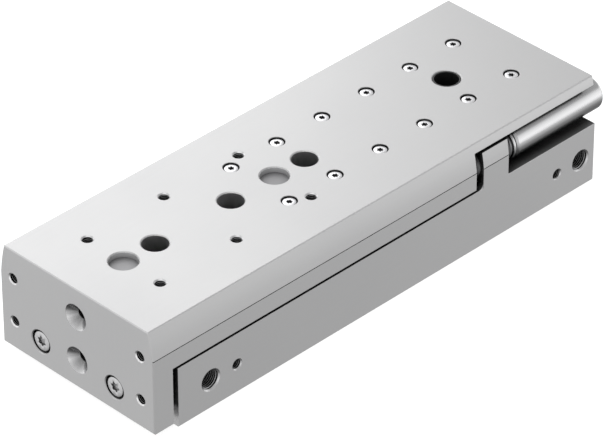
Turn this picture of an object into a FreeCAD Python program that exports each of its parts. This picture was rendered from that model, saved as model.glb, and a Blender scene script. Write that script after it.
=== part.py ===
import FreeCAD, Part
import math
import os

# A pneumatic slide table: a low aluminium housing with two air cylinders side by side,
# and an L-shaped slide that rides over it on a steel ball guide.
# Millimetres. X points the way the slide advances, Z up, and Y to the side with the air ports.
# The origin is the middle of the housing's underside. The slide is drawn fully retracted.

# Outside sizes
slide_length = 244.0
body_width = 84.2
overall_height = 49.2
top_width = 79.6
flank_height = 12.4
flank_radius = 80.0
crease_groove_width = 0.35
crease_groove_depth = 0.35
edge_break = 0.4
deck_edge_break = 0.1

# The slide
yoke_thickness = 10.0
yoke_gap = 2.6
yoke_ground_gap = 3.0
table_thickness = 9.0
flange_thickness = 4.05
skirt_length = 174.7
skirt_wall = 3.8
skirt_gap = 1.2
front_block_length = 20.0
stop_block_length = 14.0

# The housing
lug_length = 14.3
lug_gap = 4.1
lug_top_gap = 1.4
lug_root_radius = 2.5
lug_back_radius = 0.8
stop_clearance = 0.3
side_clearance = 0.3

# Travel
stroke = 100.0

# Holes in the top of the slide, measured back from the front face
fixing_grid_start = 25.1
fixing_grid_pitch = 40.0
fixing_grid_rows = 3
fixing_grid_width = 40.0
m5_core_radius = 2.1
m5_mouth_radius = 2.6
m5_depth = 8.2
centring_radius = 6.0
centring_depth = 2.6
rim_break = 0.35
fine_rim_break = 0.17
access_radius = 5.5
access_start = 41.5
access_pitch = 40.0
access_steps = (0, 1, 2, 4)
liner_wall = 0.7
liner_allowance = 0.3
liner_foot = 0.2
liner_sink = 0.3

# The rail and its screws
rail_screw_start = 97.2
rail_screw_pitch = 25.0
rail_screw_count = 6
rail_screw_edge = 2.0
m3_core_radius = 1.25
m3_clear_radius = 1.7
m3_head_radius = 2.85
m3_head_height = 3.0
m3_shank_length = 8.0
m3_counterbore_radius = 3.3
head_sink = 0.5
thread_spare = 0.6
rail_margin = 24.1
rail_height = 9.4
rail_end_margin = 12.5
rail_edge_break = 1.0

# The ball guide's runner, which the housing carries
ball_radius = 1.5
track_drop = 5.8
return_offset = 3.8
track_clearance = 0.04
ball_spacing = 3.1
balls_per_row = 11
runner_leg_wall = 0.7
runner_pad_gap = 0.1
runner_lug_gap = 0.4
runner_rail_gap = 0.4
runner_top_gap = 0.8
runner_side_gap = 0.5
runner_pocket_depth = 1.4
runner_pocket_gap = 0.1
runner_cap_shrink = 0.2
runner_cap_length = 4.5
wiper_length = 1.5
wiper_clearance = 0.1
return_bore_radius = 1.65
m4_core_radius = 1.65
m4_clear_radius = 2.2
m4_head_radius = 4.0
m4_head_clearance = 0.15
m4_head_sink = 0.1
m4_screw_length = 10.0
runner_screw_side = 5.5
runner_screw_first = 5.0
runner_screw_pitch = 11.0
cap_screw_radius = 0.8
cap_screw_head_radius = 1.6
cap_screw_head_height = 1.2
cap_screw_length = 9.0
cap_screw_offset = 3.15
cap_screw_rise = 2.6

# The cylinders
bore_radius = 10.0
bore_web = 20.8
bore_floor_wall = 3.75
bore_roof_wall = 3.65
rod_radius = 5.0
running_clearance = 0.03
seat_clearance = 0.05
free_clearance = 0.3
end_play = 0.1
clip_inset = 1.2
clip_thickness = 1.0
clip_groove_depth = 0.7
clip_band = 1.5
clip_opening = 4.2
clip_eye_radius = 0.7
clip_lug_radius = 1.6
clip_lug_side = 1.3
clip_lug_lift = 0.4
gland_flange_length = 9.7
gland_length = 40.0
gland_neck_radius = 8.0
rod_seal_radius = 7.5
rod_seal_length = 3.6
rod_seal_lip = 0.8
rod_seal_groove = 1.6
rod_seal_lip_gap = 0.2
rod_bush_radius = 6.5
rod_bush_length = 14.0
ring_section_radius = 0.8
ring_groove_width = 1.9
ring_groove_setback = 6.4
ring_squeeze = 0.02
cap_flange_length = 3.7
cap_spigot_radius = 6.5
cap_spigot_length = 4.0
bumper_radius = 6.0
bumper_length = 2.0
bumper_gap = 0.3
bumper_break = 0.6
piston_length = 42.0
piston_radius = 9.7
piston_break = 0.5
piston_seal_inset = 4.0
piston_seal_length = 3.0
piston_seal_core = 7.4
piston_seal_lip = 0.6
piston_seal_heel = 0.1
magnet_length = 8.0
magnet_core = 7.0
magnet_radius = 9.4
wear_ring_length = 6.0
wear_ring_offset = 2.0
wear_ring_core = 8.7
piston_spigot_radius = 3.0
nut_width = 10.0
nut_height = 5.0
nut_pocket_radius = 6.0
nut_setback = 1.0
spigot_setback = 0.5

# Screws that hold the rods to the yoke, and the other holes in the front face
rod_screw_counterbore_radius = 5.0
rod_screw_head_radius = 4.3
rod_screw_head_height = 5.0
rod_screw_head_sink = 0.4
rod_screw_clear_radius = 2.75
rod_screw_thread_length = 11.0
front_hole_width = 70.0
front_hole_low = 15.8
front_hole_rise = 20.0
front_hole_depth = 12.0
countersink_radius = 5.75
countersink_core_radius = 2.25

# Air ports and side holes of the housing, measured back from the slide's front face
port_height = 13.1
port_front = 29.5
port_rear = 236.1
port_core_radius = 4.3
port_mouth_radius = 4.95
port_depth = 8.0
passage_radius = 1.75
side_hole_front = 43.3
side_hole_rear = 222.2
side_hole_depth = 7.0

# Mounting holes of the housing
m6_clear_radius = 3.3
m6_counterbore_radius = 5.5
m6_counterbore_depth = 6.8
dowel_recess_radius = 4.5
dowel_recess_depth = 2.1
sensor_slot_radius = 2.1
sensor_slot_mouth = 3.0
sensor_slot_low = 8.2
sensor_slot_high = 19.3
sensor_slot_lip = 0.8

# Shock absorbers: the left one stops the return, the right one stops the advance
shock_edge = 8.7
shock_rise = 8.2
shock_radius = 7.0
shock_sleeve_radius = 7.25
shock_sleeve_wall = 0.95
shock_overhang = 7.0
shock_end_round = 1.6
shock_thread_behind_lug = 4.4
shock_ring_gap = 0.6
shock_ring_length = 1.2
shock_ring_break = 0.25
shock_neck_gap = 0.9
shock_rim_break = 0.5
shock_sleeve_break = 0.8
shock_sleeve_floor = 2.5
shock_barrel_setback = 3.0
shock_chamber_setback = 6.0
plunger_stroke = 9.0
plunger_radius = 1.6
plunger_button_radius = 4.0
plunger_button_length = 3.0
plunger_button_gap = 0.15
plunger_button_spare = 0.2
plunger_break = 0.4
plunger_piston_gap = 0.1
plunger_rod_length = 32.0
plunger_piston_length = 6.0
shock_chamber_radius = 4.5
shock_guide_length = 3.8

# Places that follow from those sizes
housing_length = slide_length - yoke_thickness - yoke_gap
housing_height = bore_floor_wall + 2 * bore_radius + bore_roof_wall
bore_side = bore_radius + bore_web / 2
bore_height = bore_floor_wall + bore_radius
crease_height = overall_height - flank_height
shock_height = housing_height + shock_rise
housing_front = housing_length / 2
housing_rear = -housing_length / 2
front_face = housing_front + yoke_gap + yoke_thickness
yoke_back = front_face - yoke_thickness
slide_rear = front_face - slide_length
half_width = body_width / 2
shock_side = half_width - shock_edge
rail_half_width = half_width - rail_margin
rail_screw_side = rail_half_width - rail_screw_edge
flange_under = overall_height - flange_thickness
pad_under = overall_height - table_thickness
ball_row_height = pad_under - track_drop
ball_row_side = rail_half_width + runner_side_gap / 2
cap_screw_side = ball_row_side + cap_screw_offset
return_row_side = ball_row_side + return_offset
runner_half_width = return_row_side + return_bore_radius + runner_leg_wall
pad_half_width = runner_half_width + runner_pad_gap
lug_inner_side = runner_half_width + runner_lug_gap
skirt_bottom = housing_height + skirt_gap
skirt_end = front_face - skirt_length
skirt_inner = half_width - skirt_wall
lug_front = skirt_end - lug_gap
lug_back = lug_front - lug_length
lug_top = flange_under - lug_top_gap
rail_front = front_face - rail_screw_start + rail_end_margin
rail_length = (rail_screw_count - 1) * rail_screw_pitch + 2 * rail_end_margin
rail_bottom = pad_under - rail_height
runner_length = rail_length - stroke
runner_front = rail_front
runner_back = runner_front - runner_length
runner_steel_front = runner_front - wiper_length - runner_cap_length
runner_steel_back = runner_back + wiper_length + runner_cap_length
runner_seat = housing_height - runner_pocket_depth
runner_floor = rail_bottom - runner_rail_gap
runner_top = pad_under - runner_top_gap
m3_seat = overall_height - head_sink - m3_head_height
shock_front = skirt_end - stop_clearance
liner_radius = access_radius + liner_allowance
clip_room = clip_thickness + end_play
gland_start = housing_front - clip_inset - clip_room
cap_start = housing_rear + clip_inset + clip_room
cap_face = cap_start + cap_flange_length + cap_spigot_length
piston_back = cap_face + bumper_length + bumper_gap
piston_front = piston_back + piston_length
rod_screw_seat = front_face - rod_screw_head_sink - rod_screw_head_height
lined_place = front_face - access_start - access_pitch * access_steps[-1]
shock_thread_end = lug_back - shock_thread_behind_lug
shock_sleeve_front = shock_thread_end - shock_ring_gap - shock_ring_length - shock_neck_gap
shock_end = housing_rear - shock_overhang
shock_sleeve_inner = shock_sleeve_radius - shock_sleeve_wall

# Helpers for cutting and joining: how far a cutter runs past a face, and how far joined bodies reach in
overrun = 1.0
reach_in = 0.1
far = 2 * body_width
same_place = 0.001
arc_middle = 1 - math.sqrt(0.5)


def box(x_low, x_high, y_low, y_high, z_low, z_high):
    corner = FreeCAD.Vector(x_low, y_low, z_low)
    return Part.makeBox(x_high - x_low, y_high - y_low, z_high - z_low, corner)


def rod_along_x(radius, x_low, x_high, y, z):
    return Part.makeCylinder(radius, x_high - x_low, FreeCAD.Vector(x_low, y, z), FreeCAD.Vector(1, 0, 0))


def rod_along_y(radius, y_low, y_high, x, z):
    return Part.makeCylinder(radius, y_high - y_low, FreeCAD.Vector(x, y_low, z), FreeCAD.Vector(0, 1, 0))


def rod_along_z(radius, z_low, z_high, x, y):
    return Part.makeCylinder(radius, z_high - z_low, FreeCAD.Vector(x, y, z_low), FreeCAD.Vector(0, 0, 1))


def mouth(radius, rim_radius, place, inward):
    # A conical mouth of 45 degrees, cut from just outside the face.
    depth = rim_radius - radius + reach_in
    base = place - inward * reach_in
    return Part.makeCone(rim_radius + reach_in, radius, depth, base, inward)


def drilled(radius, depth, rim_radius, place, inward):
    hole = Part.makeCylinder(radius, depth, place, inward)
    return hole.fuse(mouth(radius, rim_radius, place, inward))


def turned(points, y, z):
    # A ring or plug turned about a line along X. Each point is its place along X and its radius.
    corners = [FreeCAD.Vector(x, y, z + radius) for x, radius in points]
    outline = Part.makePolygon(corners + [corners[0]])
    return Part.Face(outline).revolve(FreeCAD.Vector(0, y, z), FreeCAD.Vector(1, 0, 0), 360)


def ring(inner, outer, x_low, x_high, y, z):
    return turned([(x_low, inner), (x_high, inner), (x_high, outer), (x_low, outer)], y, z)


def prism_along_x(edges, x_low, x_high):
    face = Part.Face(Part.Wire(edges))
    face.translate(FreeCAD.Vector(x_low, 0, 0))
    return face.extrude(FreeCAD.Vector(x_high - x_low, 0, 0))


def sagging_arc(start, end, radius, outward):
    chord = end - start
    rise = chord.Length ** 2 / (8 * radius)
    middle = (start + end) * 0.5 + outward * rise
    return Part.Arc(start, middle, end).toShape()


def flank_block(x_low, x_high, z_low):
    # The outside shape of slide, yoke and lugs: upright sides to the crease, then leaning, bowed flanks.
    half_top = top_width / 2
    left_foot = FreeCAD.Vector(0, half_width, z_low)
    left_crease = FreeCAD.Vector(0, half_width, crease_height)
    left_shoulder = FreeCAD.Vector(0, half_top, overall_height - edge_break)
    left_top = FreeCAD.Vector(0, half_top - edge_break, overall_height)
    right_top = FreeCAD.Vector(0, -half_top + edge_break, overall_height)
    right_shoulder = FreeCAD.Vector(0, -half_top, overall_height - edge_break)
    right_crease = FreeCAD.Vector(0, -half_width, crease_height)
    right_foot = FreeCAD.Vector(0, -half_width, z_low)
    edges = [
        Part.makeLine(left_foot, left_crease),
        sagging_arc(left_crease, left_shoulder, flank_radius, FreeCAD.Vector(0, 1, 0)),
        Part.makeLine(left_shoulder, left_top),
        Part.makeLine(left_top, right_top),
        Part.makeLine(right_top, right_shoulder),
        sagging_arc(right_shoulder, right_crease, flank_radius, FreeCAD.Vector(0, -1, 0)),
        Part.makeLine(right_crease, right_foot),
        Part.makeLine(right_foot, left_foot),
    ]
    return prism_along_x(edges, x_low, x_high)


def crease_grooves(x_low, x_high):
    low = crease_height - crease_groove_width
    left = box(x_low, x_high, half_width - crease_groove_depth, half_width + overrun, low, crease_height)
    right = box(x_low, x_high, -half_width - overrun, -half_width + crease_groove_depth, low, crease_height)
    return left.fuse(right)


def root_fillet(x_face, direction, radius, y_low, y_high):
    # The hollow corner between a lug's face and the deck.
    foot = FreeCAD.Vector(x_face, y_low, housing_height)
    out = FreeCAD.Vector(x_face + direction * radius, y_low, housing_height)
    up = FreeCAD.Vector(x_face, y_low, housing_height + radius)
    bend = radius * arc_middle
    middle = FreeCAD.Vector(x_face + direction * bend, y_low, housing_height + bend)
    edges = [Part.makeLine(foot, out), Part.Arc(out, middle, up).toShape(), Part.makeLine(up, foot)]
    return Part.Face(Part.Wire(edges)).extrude(FreeCAD.Vector(0, y_high - y_low, 0))


def axis_places():
    return [front_face - access_start - access_pitch * step for step in access_steps]


def rail_screw_places():
    places = []
    for index in range(rail_screw_count):
        x = front_face - rail_screw_start - rail_screw_pitch * index
        places.append((x, rail_screw_side))
        places.append((x, -rail_screw_side))
    return places


def outline_edges_at(shape, x):
    edges = []
    for edge in shape.Edges:
        if all(abs(vertex.X - x) < same_place for vertex in edge.Vertexes):
            edges.append(edge)
    return edges


# The slide: a table, two skirts and the yoke plate, milled from one piece of aluminium
def make_slide():
    table = flank_block(slide_rear, front_face, skirt_bottom)
    yoke = flank_block(yoke_back, front_face, yoke_ground_gap)
    shape = table.fuse(yoke).removeSplitter()
    shape = shape.makeChamfer(edge_break, outline_edges_at(shape, front_face))

    block_end = yoke_back - front_block_length
    stop_start = skirt_end + stop_block_length
    below = skirt_bottom - overrun
    behind = slide_rear - overrun
    shape = shape.cut(box(behind, yoke_back, -pad_half_width, pad_half_width, below, pad_under))
    # Each channel beside the pad runs in steps: from, to, and how far out it reaches.
    left_steps = [
        (behind, skirt_end, far), (skirt_end, stop_start, lug_inner_side),
        (stop_start, block_end, skirt_inner), (block_end, yoke_back, lug_inner_side),
    ]
    right_steps = [
        (behind, lug_back, far), (lug_back, lug_front, lug_inner_side), (lug_front, skirt_end, far),
        (skirt_end, block_end, skirt_inner), (block_end, yoke_back, lug_inner_side),
    ]
    inside = pad_half_width - reach_in
    for x_low, x_high, outer in left_steps:
        shape = shape.cut(box(x_low, x_high, inside, outer, below, pad_under))
        shape = shape.cut(box(x_low, x_high, pad_half_width, outer, below, flange_under))
    for x_low, x_high, outer in right_steps:
        shape = shape.cut(box(x_low, x_high, -outer, -inside, below, pad_under))
        shape = shape.cut(box(x_low, x_high, -outer, -pad_half_width, below, flange_under))
    seat = shock_radius + running_clearance
    shape = shape.cut(rod_along_x(seat, lug_back, lug_front, -shock_side, shock_height))

    down = FreeCAD.Vector(0, 0, -1)
    back = FreeCAD.Vector(-1, 0, 0)
    cuts = []
    for row in range(fixing_grid_rows):
        x = front_face - fixing_grid_start - fixing_grid_pitch * row
        for side in (1, -1):
            place = FreeCAD.Vector(x, side * fixing_grid_width / 2, overall_height)
            cuts.append(drilled(m5_core_radius, m5_depth, m5_mouth_radius, place, down))
    for row in (0, fixing_grid_rows - 1):
        x = front_face - fixing_grid_start - fixing_grid_pitch * row
        place = FreeCAD.Vector(x, 0, overall_height)
        cuts.append(drilled(centring_radius, centring_depth, centring_radius + rim_break, place, down))
    for x in axis_places():
        radius = liner_radius if x == lined_place else access_radius
        place = FreeCAD.Vector(x, 0, overall_height)
        cuts.append(drilled(radius, table_thickness + overrun, radius + rim_break, place, down))
    for x, y in rail_screw_places():
        place = FreeCAD.Vector(x, y, overall_height)
        depth = overall_height - m3_seat
        rim = m3_counterbore_radius + fine_rim_break
        cuts.append(drilled(m3_counterbore_radius, depth, rim, place, down))
        cuts.append(rod_along_z(m3_clear_radius, pad_under - overrun, m3_seat + reach_in, x, y))
    for side in (1, -1):
        for rise in (0, 1):
            height = front_hole_low + front_hole_rise * rise
            place = FreeCAD.Vector(front_face, side * front_hole_width / 2, height)
            cuts.append(drilled(m5_core_radius, front_hole_depth, m5_mouth_radius, place, back))
        place = FreeCAD.Vector(front_face, side * bore_side, bore_height)
        depth = front_face - rod_screw_seat
        rim = rod_screw_counterbore_radius + rim_break
        cuts.append(drilled(rod_screw_counterbore_radius, depth, rim, place, back))
        y = side * bore_side
        cuts.append(rod_along_x(rod_screw_clear_radius, yoke_back - overrun, front_face, y, bore_height))
    for rise in (0, 1):
        place = FreeCAD.Vector(front_face, 0, front_hole_low + front_hole_rise * rise)
        depth = yoke_thickness + overrun
        cuts.append(drilled(countersink_core_radius, depth, countersink_radius, place, back))
    cuts.append(crease_grooves(behind, front_face + overrun))
    return shape.cut(Part.makeCompound(cuts))


# The housing: one milled block with both cylinder bores, the left lug and the right stop
def make_housing():
    low = edge_break
    deck = deck_edge_break
    side = half_width
    corners = [
        (side - low, 0), (side, low), (side, housing_height - deck), (side - deck, housing_height),
        (-side + deck, housing_height), (-side, housing_height - deck), (-side, low), (-side + low, 0),
    ]
    points = [FreeCAD.Vector(0, y, z) for y, z in corners]
    outline = Part.makePolygon(points + [points[0]])
    shape = prism_along_x(outline.Edges, housing_rear, housing_front)

    root = housing_height - overrun
    lug = flank_block(lug_back, lug_front, root)
    lug = lug.common(box(lug_back, lug_front, lug_inner_side, far, root, lug_top))
    lug = lug.cut(crease_grooves(lug_back - overrun, lug_front + overrun))
    shape = shape.fuse(lug)
    deck_edge = half_width - deck
    shape = shape.fuse(root_fillet(lug_front, 1, lug_root_radius, lug_inner_side, deck_edge))
    shape = shape.fuse(root_fillet(lug_back, -1, lug_back_radius, lug_inner_side, deck_edge))

    stop_face = shock_front + stroke + stop_clearance
    stop_outer = skirt_inner - side_clearance
    stop_front = stop_face + lug_length
    shape = shape.fuse(box(stop_face, stop_front, -stop_outer, -lug_inner_side, root, lug_top))
    shape = shape.fuse(root_fillet(stop_front, 1, lug_root_radius, -stop_outer, -lug_inner_side))

    behind = housing_rear - overrun
    ahead = housing_front + overrun
    seat = shock_radius + running_clearance
    cuts = [rod_along_x(seat, lug_back - overrun, lug_front + overrun, shock_side, shock_height)]
    for y in (bore_side, -bore_side):
        cuts.append(rod_along_x(bore_radius, behind, ahead, y, bore_height))
        groove = bore_radius + clip_groove_depth
        for x_low in (housing_rear + clip_inset, gland_start):
            cuts.append(rod_along_x(groove, x_low, x_low + clip_room, y, bore_height))
        rim = FreeCAD.Vector(housing_rear, y, bore_height)
        cuts.append(mouth(bore_radius, bore_radius + edge_break, rim, FreeCAD.Vector(1, 0, 0)))
        rim = FreeCAD.Vector(housing_front, y, bore_height)
        cuts.append(mouth(bore_radius, bore_radius + edge_break, rim, FreeCAD.Vector(-1, 0, 0)))
    inward = FreeCAD.Vector(0, -1, 0)
    for distance in (port_front, port_rear):
        place = FreeCAD.Vector(front_face - distance, half_width, port_height)
        cuts.append(drilled(port_core_radius, port_depth, port_mouth_radius, place, inward))
        mouth_side = half_width - overrun
        cuts.append(rod_along_y(passage_radius, -bore_side, mouth_side, front_face - distance, port_height))
    for distance in (side_hole_front, side_hole_rear):
        place = FreeCAD.Vector(front_face - distance, half_width, port_height)
        cuts.append(drilled(m5_core_radius, side_hole_depth, m5_mouth_radius, place, inward))
    for height in (sensor_slot_low, sensor_slot_high):
        y = -half_width + sensor_slot_lip + sensor_slot_radius
        cuts.append(rod_along_x(sensor_slot_radius, behind, ahead, y, height))
        half_mouth = sensor_slot_mouth / 2
        cuts.append(box(behind, ahead, -far, y, height - half_mouth, height + half_mouth))

    pocket_side = runner_half_width + runner_pocket_gap
    pocket_back = runner_back - runner_pocket_gap
    pocket_front = runner_front + runner_pocket_gap
    above = housing_height + overrun
    cuts.append(box(pocket_back, pocket_front, -pocket_side, pocket_side, runner_seat, above))
    for x in axis_places():
        on_runner = runner_back < x < runner_front
        deck = runner_seat if on_runner else housing_height
        cuts.append(rod_along_z(m6_clear_radius, -overrun, deck, x, 0))
        cuts.append(rod_along_z(m6_counterbore_radius, deck - m6_counterbore_depth, above, x, 0))
    for x in (axis_places()[0], axis_places()[-1]):
        place = FreeCAD.Vector(x, 0, 0)
        up = FreeCAD.Vector(0, 0, 1)
        rim = dowel_recess_radius + rim_break
        cuts.append(drilled(dowel_recess_radius, dowel_recess_depth, rim, place, up))
    for x, y in runner_screw_places():
        depth = m4_screw_length + thread_spare
        cuts.append(rod_along_z(m4_core_radius, runner_floor - depth, runner_seat, x, y))
    return shape.cut(Part.makeCompound(cuts)).removeSplitter()


# The ball guide
def runner_screw_places():
    places = []
    for step in (0, 1):
        x = runner_steel_front - runner_screw_first - runner_screw_pitch * step
        places.append((x, runner_screw_side))
        places.append((x, -runner_screw_side))
    return places


def make_rail():
    rail_rear = rail_front - rail_length
    shape = box(rail_rear, rail_front, -rail_half_width, rail_half_width, rail_bottom, pad_under)
    long_edges = []
    for edge in shape.Edges:
        low = all(abs(vertex.Z - rail_bottom) < same_place for vertex in edge.Vertexes)
        along = abs(edge.Vertexes[0].X - edge.Vertexes[1].X) > rail_length / 2
        if low and along:
            long_edges.append(edge)
    shape = shape.makeChamfer(rail_edge_break, long_edges)
    cuts = []
    for side in (1, -1):
        y = side * ball_row_side
        track = ball_radius + track_clearance
        cuts.append(rod_along_x(track, rail_rear - overrun, rail_front + overrun, y, ball_row_height))
    for x in axis_places():
        radius = liner_radius if x == lined_place else access_radius
        if rail_rear < x < rail_front:
            cuts.append(rod_along_z(radius, rail_bottom - overrun, pad_under + overrun, x, 0))
    thread_low = m3_seat - m3_shank_length - thread_spare
    for x, y in rail_screw_places():
        cuts.append(rod_along_z(m3_core_radius, thread_low, pad_under + overrun, x, y))
    return shape.cut(Part.makeCompound(cuts))


def runner_section(x_low, x_high, shrink, rail_gap):
    # A trough around the rail: a floor and two legs.
    side = runner_half_width - shrink
    room = rail_half_width + rail_gap
    outer = box(x_low, x_high, -side, side, runner_seat, runner_top - shrink)
    inner = box(x_low - overrun, x_high + overrun, -room, room, runner_floor, runner_top + overrun)
    return outer.cut(inner)


def make_runner():
    shape = runner_section(runner_steel_back, runner_steel_front, 0, runner_side_gap)
    cuts = []
    behind = runner_steel_back - overrun
    ahead = runner_steel_front + overrun
    track = ball_radius + track_clearance
    for side in (1, -1):
        for radius, y in ((track, ball_row_side), (return_bore_radius, return_row_side)):
            cuts.append(rod_along_x(radius, behind, ahead, side * y, ball_row_height))
    for x in axis_places():
        if runner_steel_back < x < runner_steel_front:
            cuts.append(rod_along_z(access_radius, runner_seat - overrun, runner_floor + overrun, x, 0))
    down = FreeCAD.Vector(0, 0, -1)
    for x, y in runner_screw_places():
        place = FreeCAD.Vector(x, y, runner_floor)
        depth = runner_floor - runner_seat + overrun
        cuts.append(drilled(m4_clear_radius, depth, m4_head_radius, place, down))
    for x, y, direction in cap_screw_places():
        low = min(x, x + direction * cap_screw_length)
        high = max(x, x + direction * cap_screw_length)
        hole = cap_screw_radius + seat_clearance
        cuts.append(rod_along_x(hole, low, high, y, runner_seat + cap_screw_rise))
    return shape.cut(Part.makeCompound(cuts))


def cap_screw_places():
    places = []
    for side in (1, -1):
        places.append((runner_front, side * cap_screw_side, -1))
        places.append((runner_back, side * cap_screw_side, 1))
    return places


def make_runner_cap(x_steel, direction):
    # Each cap turns the balls round from the loaded row into the return bore.
    x_out = x_steel + direction * runner_cap_length
    low = min(x_steel, x_out)
    high = max(x_steel, x_out)
    shape = runner_section(low, high, runner_cap_shrink, runner_side_gap)
    middle = (ball_row_side + return_row_side) / 2
    bend = (return_row_side - ball_row_side) / 2
    cuts = []
    for side in (1, -1):
        centre = FreeCAD.Vector(x_steel, side * middle, ball_row_height)
        turn = Part.makeTorus(bend, return_bore_radius, centre, FreeCAD.Vector(0, 0, 1))
        cuts.append(turn)
        hole = cap_screw_radius + seat_clearance
        y = side * cap_screw_side
        cuts.append(rod_along_x(hole, low - overrun, high + overrun, y, runner_seat + cap_screw_rise))
    return shape.cut(Part.makeCompound(cuts))


def make_wiper(x_cap, direction):
    x_out = x_cap + direction * wiper_length
    low = min(x_cap, x_out)
    high = max(x_cap, x_out)
    shape = runner_section(low, high, runner_cap_shrink, wiper_clearance)
    cuts = []
    for side in (1, -1):
        hole = cap_screw_head_radius + seat_clearance
        y = side * cap_screw_side
        cuts.append(rod_along_x(hole, low - overrun, high + overrun, y, runner_seat + cap_screw_rise))
    shape = shape.cut(Part.makeCompound(cuts))
    lips = []
    for side in (1, -1):
        radius = ball_radius - wiper_clearance
        lip = rod_along_x(radius, low, high, side * ball_row_side, ball_row_height)
        lips.append(lip)
    return shape.fuse(lips).removeSplitter()


def make_balls(side):
    balls = []
    span = (balls_per_row - 1) * ball_spacing
    start = (runner_steel_front + runner_steel_back) / 2 - span / 2
    for index in range(balls_per_row):
        for y in (ball_row_side, return_row_side):
            centre = FreeCAD.Vector(start + index * ball_spacing, side * y, ball_row_height)
            balls.append(Part.makeSphere(ball_radius, centre))
    return Part.makeCompound(balls)


# Screws: each is a head and a shank at the thread's core size
def make_rail_screws():
    screws = []
    for x, y in rail_screw_places():
        head = rod_along_z(m3_head_radius, m3_seat, m3_seat + m3_head_height, x, y)
        core = m3_core_radius - running_clearance
        shank = rod_along_z(core, m3_seat - m3_shank_length, m3_seat + reach_in, x, y)
        screws.append(head.fuse(shank).removeSplitter())
    return Part.makeCompound(screws)


def make_rod_screws():
    screws = []
    for side in (1, -1):
        y = side * bore_side
        head_end = rod_screw_seat + rod_screw_head_height
        head = rod_along_x(rod_screw_head_radius, rod_screw_seat, head_end, y, bore_height)
        reach = yoke_back - rod_screw_thread_length
        core = m5_core_radius - running_clearance
        shank = rod_along_x(core, reach, rod_screw_seat + reach_in, y, bore_height)
        screws.append(head.fuse(shank).removeSplitter())
    return Part.makeCompound(screws)


def make_runner_screws():
    screws = []
    for x, y in runner_screw_places():
        top = runner_floor - m4_head_sink
        rim = m4_head_radius - m4_head_clearance
        core = m4_core_radius - running_clearance
        crown = FreeCAD.Vector(x, y, top)
        head = Part.makeCone(rim, core, rim - core, crown, FreeCAD.Vector(0, 0, -1))
        shank = rod_along_z(core, runner_floor - m4_screw_length, top - reach_in, x, y)
        screws.append(head.fuse(shank).removeSplitter())
    return Part.makeCompound(screws)


def make_cap_screws():
    screws = []
    z = runner_seat + cap_screw_rise
    for x, y, direction in cap_screw_places():
        seat = x + direction * wiper_length
        tip = x + direction * (cap_screw_length - thread_spare)
        outer = seat - direction * cap_screw_head_height
        head = rod_along_x(cap_screw_head_radius, min(seat, outer), max(seat, outer), y, z)
        shank = rod_along_x(cap_screw_radius, min(seat, tip), max(seat, tip), y, z)
        screws.append(head.fuse(shank).removeSplitter())
    return Part.makeCompound(screws)


# The cylinders
def make_gland(y):
    # The front bearing of a rod: a flange that fills the bore and a neck that air can flow around.
    start = gland_start
    flange_end = start - gland_flange_length
    end = start - gland_length
    outer = bore_radius - seat_clearance
    groove_mid = start - ring_groove_setback
    groove_depth = outer - 2 * ring_section_radius
    half_groove = ring_groove_width / 2
    free = rod_radius + free_clearance
    seal_end = start - rod_seal_length - end_play
    bush_start = end + rod_bush_length
    return turned([
        (start, rod_seal_radius), (start, outer), (groove_mid + half_groove, outer),
        (groove_mid + half_groove, groove_depth), (groove_mid - half_groove, groove_depth),
        (groove_mid - half_groove, outer), (flange_end, outer), (flange_end, gland_neck_radius),
        (end, gland_neck_radius), (end, rod_bush_radius), (bush_start, rod_bush_radius),
        (bush_start, free), (seal_end, free), (seal_end, rod_seal_radius),
    ], y, bore_height)


def make_gland_ring(y):
    centre = FreeCAD.Vector(gland_start - ring_groove_setback, y, bore_height)
    radius = bore_radius - seat_clearance - ring_section_radius
    return Part.makeTorus(radius, ring_section_radius - ring_squeeze, centre, FreeCAD.Vector(1, 0, 0))


def make_rod_seal(y):
    start = gland_start
    end = start - rod_seal_length
    inner = rod_radius + running_clearance
    outer = rod_seal_radius - seat_clearance
    middle = (inner + outer) / 2
    return turned([
        (start, inner), (start, outer), (end, outer), (end, middle + rod_seal_lip_gap),
        (end + rod_seal_groove, middle), (end, middle - rod_seal_lip_gap), (end, inner + rod_seal_lip_gap),
        (end + rod_seal_lip, inner),
    ], y, bore_height)


def make_rod_bush(y):
    end = gland_start - gland_length
    return ring(rod_radius + running_clearance, rod_bush_radius - seat_clearance,
                end, end + rod_bush_length, y, bore_height)


def make_rear_cap(y):
    start = cap_start
    flange_end = start + cap_flange_length
    outer = bore_radius - seat_clearance
    middle = (start + flange_end) / 2
    half_groove = ring_groove_width / 2
    groove_depth = outer - 2 * ring_section_radius
    return turned([
        (start, 0), (start, outer), (middle - half_groove, outer), (middle - half_groove, groove_depth),
        (middle + half_groove, groove_depth), (middle + half_groove, outer), (flange_end, outer),
        (flange_end, cap_spigot_radius), (cap_face, cap_spigot_radius), (cap_face, 0),
    ], y, bore_height)


def make_cap_ring(y):
    centre = FreeCAD.Vector(cap_start + cap_flange_length / 2, y, bore_height)
    radius = bore_radius - seat_clearance - ring_section_radius
    return Part.makeTorus(radius, ring_section_radius - ring_squeeze, centre, FreeCAD.Vector(1, 0, 0))


def make_bumper(y):
    end = cap_face + bumper_length
    return turned([
        (cap_face, 0), (cap_face, bumper_radius), (end - bumper_break, bumper_radius),
        (end, bumper_radius - bumper_break), (end, 0),
    ], y, bore_height)


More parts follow.
